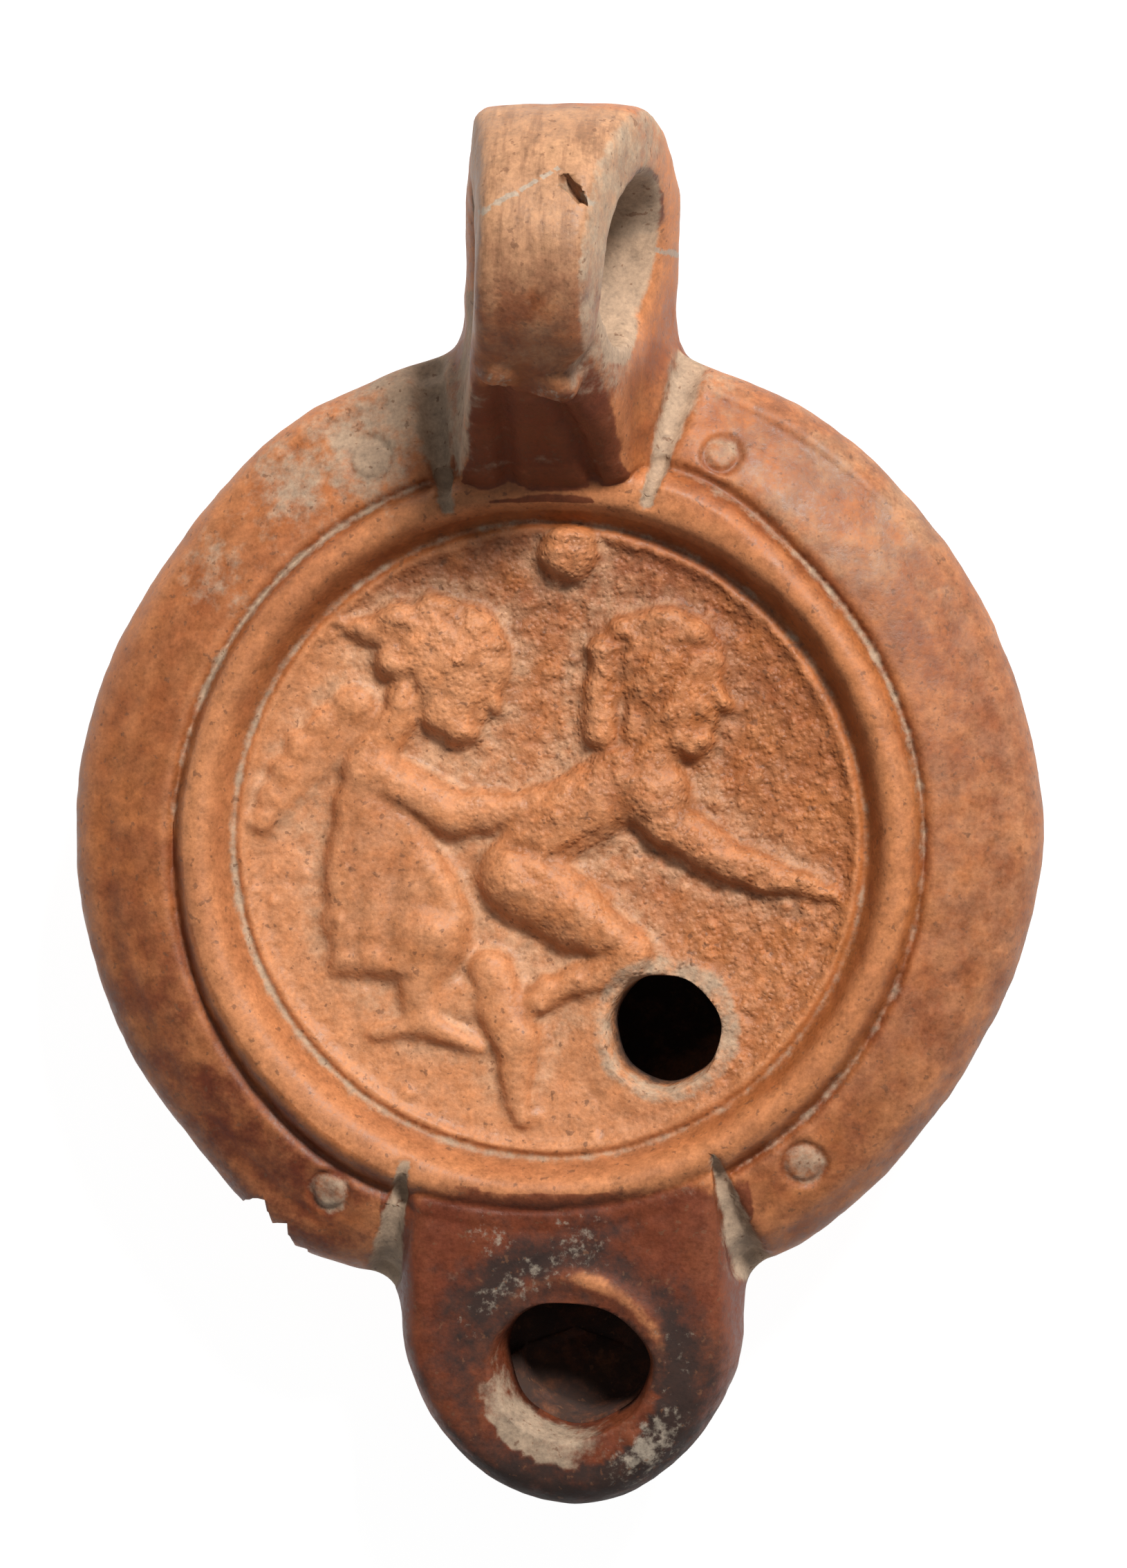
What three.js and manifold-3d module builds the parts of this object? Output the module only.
// A mould-made terracotta oil lamp: a round hollow body with a figured discus, a rounded nozzle
// and a pierced ring handle, all one piece of fired clay.
//
// Units are millimetres and +Z is up. The origin is the centre of the flat base, +Y points to the
// handle and -Y to the nozzle.
import * as THREE from "three";
import { mergeVertices } from "three/addons/utils/BufferGeometryUtils.js";
import Module from "manifold-3d";

const wasm = await Module();
wasm.setup();

const { degToRad, lerp, smoothstep, clamp } = THREE.MathUtils;
const at = (x, y) => new THREE.Vector2(x, y);
const point3 = (x, y, z) => new THREE.Vector3(x, y, z);

// Driving dimensions.
const bodyR = 38; // widest radius of the body
const waistZ = 15.5; // height of the widest line, where the two moulded halves were joined
const baseR = 19.5; // radius of the flat base
const wall = 3.2; // thickness of the clay
const shoulderZ = 21.6; // height of the shoulder where it meets the ring
const crestZ = 23.2; // top of the rounded ring round the discus
const floorZ = 20.0; // sunken floor of the discus
const discusR = 24.2; // radius of the thin rib that edges the discus floor
const grooveR = 29.3; // radius of the groove between ring and shoulder
const discusShift = 0.8; // the rings sit this far towards the nozzle from the body's axis
const nozzleX = 1.4; // the nozzle stands a little off the body's axis
const nozzleR = 13.7; // half-width of the nozzle, and the radius of its rounded tip
const nozzleY = -39.7; // where the nozzle's straight sides turn into its tip
const handleTopZ = 44.4;
const handleTopHalf = 4.0; // half-width of the handle's strap at the top
const handleRootY = 26; // the handle's front face stands on the ring here
const handleSkew = 0.086; // the handle drifts to +X by this much for each mm towards its back
const handleHole = { y: 43.1, z: 30.6, ry: 6.9, rz: 7.4 };
const fillingHole = { x: 8.9, y: -15.7, r: 4.2, rim: 5.2 };
const wickHole = { x: 1.6, y: -42.0, r: 6.0, rim: 6.9 };

// The rim isn't a true circle. Each bump or dent is [bearing in degrees, spread, depth in mm].
const rimWobble = [
  [0, 11, 0.4],
  [88, 40, 0.4],
  [145, 16, -0.8],
  [200, 24, 0.4],
  [236, 10, 1.2],
  [325, 15, -0.5],
];

// ---- Helpers ----

// Turns a closed three.js geometry into a manifold-3d solid.
function solid(geometry) {
  const bare = geometry.clone();
  bare.deleteAttribute("normal");
  bare.deleteAttribute("uv");
  const merged = mergeVertices(bare, 1e-4);
  return new wasm.Manifold(
    new wasm.Mesh({
      numProp: 3,
      vertProperties: merged.attributes.position.array,
      triVerts: new Uint32Array(merged.index.array),
    }),
  );
}

// Turns a solid back into a three.js geometry.
function geometryOf(made) {
  const mesh = made.getMesh();
  const geometry = new THREE.BufferGeometry();
  geometry.setAttribute("position", new THREE.BufferAttribute(mesh.vertProperties, 3));
  geometry.setIndex(new THREE.BufferAttribute(mesh.triVerts, 1));
  geometry.computeVertexNormals();
  return geometry;
}

// Moves every vertex of a geometry: change is given the point and alters it.
function warp(geometry, change) {
  const position = geometry.attributes.position;
  const point = point3(0, 0, 0);
  for (let i = 0; i < position.count; i++) {
    change(point.fromBufferAttribute(position, i));
    position.setXYZ(i, point.x, point.y, point.z);
  }
  return geometry;
}

// Spins a profile of (radius, height) points about +Z.
function turned(profile, segments) {
  return new THREE.LatheGeometry(profile, segments).rotateX(Math.PI / 2);
}

// A tapered, round-ended bar from one point to another. half is the half-width at each end, and
// rise is how far the bar stands out of, or cuts into, the face it lies on.
function limb(from, to, half, rise, sides = 7) {
  const along = to.clone().sub(from);
  const length = along.length();
  const bar = new THREE.CapsuleGeometry(1, length, 2, sides, 1).rotateZ(-Math.PI / 2);
  warp(bar, (point) => {
    const x = point.x + length / 2;
    const t = clamp(x / length, 0, 1);
    const wide = lerp(half[0], half[1], t);
    point.x = clamp(x, 0, length) + (x - clamp(x, 0, length)) * wide;
    point.y *= wide;
    point.z *= lerp(rise[0], rise[1], t);
  });
  const forward = along.normalize();
  const side = point3(-forward.y, forward.x, 0).normalize();
  const up = forward.clone().cross(side);
  bar.applyMatrix4(new THREE.Matrix4().makeBasis(forward, side, up).setPosition(from));
  return solid(bar);
}

// A low oval lump, turned by an angle in degrees.
function lump(centre, rx, ry, rise, turn = 0, sides = 10) {
  const ball = new THREE.SphereGeometry(1, sides, Math.round(sides * 0.6));
  ball.rotateX(Math.PI / 2).scale(rx, ry, rise).rotateZ(degToRad(turn));
  return solid(ball.translate(centre.x, centre.y, centre.z));
}

// ---- Body ----

// How far the rim bulges out at a bearing, in radians.
function wobbleAt(bearing) {
  return rimWobble.reduce((sum, [degrees, spread, depth]) => {
    const off = Math.abs(bearing - degToRad(degrees)) % (2 * Math.PI);
    const turn = Math.min(off, 2 * Math.PI - off) / degToRad(spread);
    return sum + depth * Math.exp(-turn * turn);
  }, 0);
}

// The turned body gets its uneven rim, and its rings slide towards the nozzle.
function handMade(point) {
  const r = Math.hypot(point.x, point.y);
  const bulge = wobbleAt(Math.atan2(point.y, point.x)) * smoothstep(r, grooveR, bodyR - 1);
  const grown = r > 0 ? 1 + bulge / r : 1;
  const onTop = smoothstep(point.z, wall, waistZ);
  point.x *= grown;
  point.y *= grown;
  point.y -= discusShift * onTop * (1 - smoothstep(r, grooveR + 1, bodyR - 1));
}

function outerProfile() {
  const bowl = new THREE.QuadraticBezierCurve(
    at(baseR + 0.6, 1.1),
    at(bodyR - 3, 4.2),
    at(bodyR, waistZ),
  );
  const underGroove = [at(baseR - 3.9, 0), at(baseR - 3.2, 0.5), at(baseR - 2.5, 0)];
  const shoulder = [
    at(bodyR - 0.1, waistZ + 1.4),
    at(bodyR - 0.8, waistZ + 2.9),
    at(bodyR - 2.4, waistZ + 4.0),
    at(grooveR + 3.6, shoulderZ - 0.7),
  ];
  const groove = [
    at(grooveR + 0.7, shoulderZ),
    at(grooveR, shoulderZ - 0.75),
    at(grooveR - 0.6, shoulderZ - 0.1),
  ];
  const ring = [
    at(grooveR - 1.2, crestZ - 0.6),
    at(grooveR - 2.1, crestZ - 0.05),
    at(grooveR - 3.0, crestZ - 0.25),
    at(grooveR - 3.8, crestZ - 1.2),
    at(discusR + 0.9, floorZ + 0.5),
  ];
  const rib = [
    at(discusR + 0.5, floorZ + 0.2),
    at(discusR, floorZ + 0.65),
    at(discusR - 0.5, floorZ + 0.15),
  ];
  return [
    at(0, 0),
    ...underGroove,
    at(baseR, 0),
    ...bowl.getPoints(5),
    ...shoulder,
    ...groove,
    ...ring,
    ...rib,
    at(discusR - 1, floorZ),
    at(0, floorZ - 0.2),
  ];
}

function cavityProfile() {
  const bowl = new THREE.QuadraticBezierCurve(
    at(baseR - 3, wall + 0.2),
    at(bodyR - 3 - wall, 4.2 + wall),
    at(bodyR - wall, waistZ),
  );
  return [
    at(0, wall),
    ...bowl.getPoints(4),
    at(bodyR - wall - 1.2, waistZ + 1.5),
    at(grooveR, shoulderZ - wall - 0.5),
    at(discusR + 1.5, shoulderZ - wall - 0.5),
    at(discusR, floorZ - wall),
    at(0, floorZ - wall),
  ];
}

// ---- Nozzle ----

const nozzleTopAt = (y) => crestZ - 0.3 - 0.07 * Math.max(0, -y - discusR);
const nozzleUnderAt = (y) => 3.4 + 0.0026 * y * y;

// A tongue with a rounded tip: a turned drum with one half drawn back to the ring's crest. The
// profile's heights run from 0 on the underside to 1 on top. inset is the clay left all round.
function nozzleSolid(profile, inset, segments) {
  const radius = nozzleR - inset;
  const rootR = grooveR - 2.3 + inset * 0.5;
  return solid(
    warp(turned(profile, segments), (point) => {
      const drawn = point.y > 1e-3;
      const tip = Math.max(0, -point.y);
      point.x = point.x * radius * (1 - 0.12 * tip) + nozzleX;
      point.y = point.y * radius + nozzleY;
      if (drawn) point.y = -discusShift - Math.sqrt(rootR * rootR - point.x * point.x);
      point.z = lerp(nozzleUnderAt(point.y) + inset, nozzleTopAt(point.y) - inset, point.z);
    }),
  );
}

function nozzle() {
  const profile = [
    [0, 0],
    [0.4, 0.02],
    [0.72, 0.12],
    [0.92, 0.3],
    [1, 0.55],
    [0.97, 0.78],
    [0.91, 0.94],
    [0.85, 1],
    [0, 1],
  ];
  return nozzleSolid(profile.map(([r, z]) => at(r, z)), 0, 32);
}

function nozzleChannel() {
  const profile = [
    [0, 0],
    [0.5, 0.04],
    [0.85, 0.25],
    [1, 0.6],
    [0.85, 1],
    [0, 1],
  ];
  return nozzleSolid(profile.map(([r, z]) => at(r, z)), wall + 0.6, 24);
}

// ---- Handle ----

// Half-width of the handle: a narrow strap on top that spreads to a broader root and back.
function handleHalfAt(y, z) {
  const down = Math.max(0, handleTopZ - z);
  const back = smoothstep(y, 35, 52) * Math.min(1, down / 10);
  return handleTopHalf + 3.0 * Math.pow(down / 22, 1.2) + 1.2 * back;
}

function handle() {
  const side = new THREE.SplineCurve([
    at(25.4, 20.0),
    at(26.4, 23.0),
    at(30.2, 28.0),
    at(33.6, 35.4),
    at(37.6, 42.0),
    at(43.4, handleTopZ),
    at(49.6, 42.4),
    at(54.2, 37.0),
    at(55.3, 31.0),
    at(53.6, 24.6),
    at(48.8, 18.6),
    at(42.6, 13.8),
    at(37.4, 10.6),
    at(32.4, 8.6),
  ]);
  const outline = new THREE.Shape([...side.getPoints(26), at(27.5, 12)]);
  const ring = new THREE.EllipseCurve(handleHole.y, handleHole.z, handleHole.ry, handleHole.rz);
  outline.holes.push(new THREE.Path(ring.getPoints(18)));
  const bevel = 1.3;
  const depth = 2 * (handleTopHalf - bevel);
  const shape = new THREE.ExtrudeGeometry(outline, {
    depth,
    steps: 1,
    bevelSize: bevel,
    bevelOffset: -bevel,
    bevelThickness: bevel,
    bevelSegments: 2,
  });
  shape.translate(0, 0, -depth / 2);
  // The outline lies in the Y-Z plane, and its thickness runs along X.
  shape.applyMatrix4(
    new THREE.Matrix4().makeBasis(point3(0, 1, 0), point3(0, 0, 1), point3(1, 0, 0)),
  );
  return solid(
    warp(shape, (point) => {
      point.x *= handleHalfAt(point.y, point.z) / handleTopHalf;
      point.x += handleSkew * (point.y - handleRootY);
    }),
  );
}

// Two upright grooves part the handle's front face into three ribs. Each ends in a worn boss.
function handleGrooves() {
  return [
    limb(point3(-1.7, 33.4, 34.4), point3(-2.9, 27.0, 23.2), [0.5, 0.8], [0.7, 0.7]),
    limb(point3(1.9, 33.4, 34.4), point3(2.7, 27.0, 23.2), [0.5, 0.8], [0.7, 0.7]),
  ];
}

function handleBosses() {
  return [
    lump(point3(-1.5, 35.2, 37.8), 1.5, 1.5, 1.5, 0, 10),
    lump(point3(2.7, 34.6, 36.8), 1.9, 1.8, 1.8, 0, 10),
  ];
}

// ---- Relief on the discus ----

// A point on the discus floor, measured from the discus's centre.
const onDiscus = (u, v, z = floorZ - 0.1) => point3(u, v - discusShift, z);

// A bar of the relief, given as [u, v] ends, half-widths and heights.
function bar(from, to, half, rise) {
  return limb(onDiscus(...from), onDiscus(...to), half, rise);
}

// A lump of the relief at [u, v].
function mound([u, v], rx, ry, rise, turn, sides) {
  return lump(onDiscus(u, v), rx, ry, rise, turn, sides);
}

// The short tunic of the left-hand figure: a flared cloth with a wavy hem and raised folds.
function tunic() {
  const cloth = new THREE.Shape([
    at(-15.6, 5.8),
    at(-17.8, 1.0),
    at(-18.0, -3.0),
    at(-17.4, -10.4),
    at(-14.4, -10.2),
    at(-10.8, -11.3),
    at(-7.7, -10.6),
    at(-7.1, -7.4),
    at(-9.4, -3.4),
    at(-11.0, 1.2),
  ]);
  const slab = new THREE.ExtrudeGeometry(cloth, {
    depth: 0.9,
    bevelSize: 0.7,
    bevelOffset: -0.7,
    bevelThickness: 0.6,
    bevelSegments: 1,
  });
  const { z } = onDiscus(0, 0);
  const folds = [0, 1, 2].map((i) => {
    const u = -16.4 + 2.1 * i;
    return bar([u + 1.2, 3.5 - i], [u, -9.2], [0.6, 1.1], [1.3, 1.7]);
  });
  return [solid(slab.translate(0, -discusShift, z)), ...folds];
}

// A rounded mantle edge behind the left-hand figure, made of overlapping lobes.
function mantle() {
  const edge = new THREE.QuadraticBezierCurve(at(-14.9, 10.5), at(-20.3, 7.6), at(-23.2, 0.6));
  return edge.getPoints(5).map((p, i) => mound([p.x, p.y], 1.9, 1.5, 1.0, 35 + 8 * i, 7));
}

function leftFigure() {
  return [
    mound([-7.8, 13.6], 5.4, 4.6, 2.0, -12, 12),
    bar([-15.6, 16.4], [-10.5, 16.6], [0.8, 1.8], [1.0, 1.6]),
    mound([-4.6, 11.4], 2.6, 2.4, 1.8, 0),
    mound([-3.7, 7.8], 1.2, 0.6, 0.9, 20, 8),
    bar([-11.6, 10.6], [-13.6, 6.2], [1.9, 2.2], [1.3, 1.5]),
    bar([-13.6, 5.0], [-7.2, 1.9], [2.2, 2.0], [1.7, 1.5]),
    bar([-7.2, 1.9], [0.8, 3.4], [1.8, 1.5], [1.5, 1.3]),
    mound([-10.8, -8.6], 2.2, 1.8, 1.9, 0),
    bar([-5.0, -10.8], [-3.4, -16.0], [1.8, 1.5], [1.6, 1.4]),
    bar([-3.4, -16.0], [-2.2, -21.0], [1.4, 0.9], [1.4, 0.9]),
    bar([-10.3, -10.8], [-10.6, -14.2], [1.5, 1.2], [1.3, 1.1]),
    bar([-13.8, -14.7], [-9.0, -14.5], [0.7, 0.9], [0.9, 1.1]),
    bar([-9.0, -14.5], [-5.9, -16.0], [0.9, 0.7], [1.1, 0.8]),
    ...tunic(),
    ...mantle(),
  ];
}

function rightFigure() {
  return [
    mound([8.9, 13.2], 4.3, 4.7, 2.0, 0, 12),
    bar([4.1, 14.2], [4.2, 8.2], [1.5, 1.4], [1.7, 1.5]),
    mound([11.7, 10.2], 2.5, 3.4, 1.7, 10),
    mound([11.4, 7.2], 2.2, 1.5, 1.4, 20, 10),
    bar([8.8, 8.0], [8.1, 5.4], [1.9, 2.0], [1.4, 1.5]),
    mound([8.0, 3.9], 2.9, 2.8, 2.0, 0),
    bar([8.7, 1.6], [15.5, -2.2], [2.0, 1.8], [1.7, 1.4]),
    bar([15.5, -2.2], [22.3, -4.0], [1.7, 0.8], [1.4, 0.9]),
    bar([6.2, 4.9], [-1.2, -0.4], [3.1, 3.0], [1.7, 1.5]),
    bar([-2.0, -3.2], [6.4, -8.4], [3.4, 1.7], [2.1, 1.6]),
    bar([6.4, -9.3], [0.6, -11.4], [1.6, 1.3], [1.6, 1.2]),
    mound([-1.0, -12.2], 1.7, 1.5, 1.3, 0, 10),
  ];
}

// Small stray pellets of clay, and the knob at the top of the discus.
function pellets() {
  const spots = [
    [-11.0, -19.9],
    [-14.7, -11.9],
    [8.4, 19.2],
    [13.1, 3.0],
    [18.5, -5.5],
    [19.8, -5.5],
  ];
  const dots = spots.map((spot) => mound(spot, 0.5, 0.5, 0.6, 0, 6));
  return [...dots, mound([1.5, 22.4], 2.3, 2.2, 2.0, 0)];
}

// ---- Cuts ----

// A round hole through the clay, with a bevelled rim where it meets the top face.
function punched({ x, y, r, rim }, topZ, bottomZ) {
  const profile = [
    at(0, bottomZ),
    at(r, bottomZ),
    at(r, topZ - (rim - r) * 1.2),
    at(rim, topZ),
    at(rim, topZ + 4),
    at(0, topZ + 4),
  ];
  return solid(turned(profile, 26).translate(x, y, 0));
}

// The wedge-shaped channels that set the nozzle and the handle off from the shoulder.
function channels() {
  const half = [0.35, 1.5];
  const depth = [0.5, 1.3];
  const ends = [
    [point3(-10.9, -26.0, 22.2), point3(-13.0, -34.6, 18.8)],
    [point3(13.3, -25.4, 22.2), point3(15.7, -33.6, 18.8)],
    [point3(-7.6, 25.4, 22.2), point3(-9.9, 36.2, 18.4)],
    [point3(8.0, 25.8, 22.2), point3(11.0, 36.6, 18.2)],
  ];
  return ends.map(([from, to]) => limb(from, to, half, depth));
}

// Small rings stamped into the shoulder on both sides of the nozzle and the handle.
function stampedRings() {
  const spots = [
    [-14.0, 29.0, 1.3],
    [13.6, 29.2, 1.2],
    [-17.2, -28.4, 1.3],
    [20.1, -25.8, 1.2],
  ];
  return spots.map(([x, y, radius]) => {
    const r = Math.hypot(x, y);
    const z = lerp(shoulderZ - 0.3, waistZ + 4, (r - grooveR - 1) / (bodyR - 3 - grooveR));
    return solid(new THREE.TorusGeometry(radius, 0.45, 4, 10).translate(x, y, z));
  });
}

// Old damage: a jagged chip out of the rim, and one beside the crack across the handle's strap.
function chips() {
  const bite = new THREE.Shape([
    at(-3.4, 0.4),
    at(-3.0, -0.9),
    at(-1.7, -0.7),
    at(-0.9, -1.9),
    at(0.6, -1.6),
    at(1.5, -2.4),
    at(3.1, -1.3),
    at(3.6, 3.0),
    at(-3.6, 3.0),
  ]);
  const rim = new THREE.ExtrudeGeometry(bite, { depth: 8, bevelEnabled: false });
  rim.rotateZ(degToRad(235 - 90)).translate(0, 0, waistZ - 4);
  const bearing = degToRad(235);
  const reach = bodyR + 1.1;
  rim.translate(reach * Math.cos(bearing), reach * Math.sin(bearing), 0);
  return [
    solid(rim),
    limb(point3(3.6, 47.6, 43.4), point3(5.6, 45.4, 43.0), [0.7, 0.5], [1.6, 1.2], 6),
  ];
}

// ---- Assembly ----

function lamp() {
  const { Manifold } = wasm;
  const clay = Manifold.union([
    solid(warp(turned(outerProfile(), 56), handMade)),
    nozzle(),
    handle(),
    ...handleBosses(),
    ...leftFigure(),
    ...rightFigure(),
    ...pellets(),
  ]);
  const removed = Manifold.union([
    solid(warp(turned(cavityProfile(), 36), handMade)),
    nozzleChannel(),
    punched(fillingHole, floorZ + 0.2, 12),
    punched(wickHole, nozzleTopAt(wickHole.y) + 0.05, 13),
    ...handleGrooves(),
    ...channels(),
    ...stampedRings(),
    ...chips(),
  ]);
  return clay.subtract(removed);
}

const terracotta = new THREE.MeshStandardMaterial({
  color: 0xa8653f,
  roughness: 0.75,
  metalness: 0,
});
const body = new THREE.Mesh(geometryOf(lamp()), terracotta);
body.name = "lamp_body";

const group = new THREE.Group();
group.add(body);

export default group;
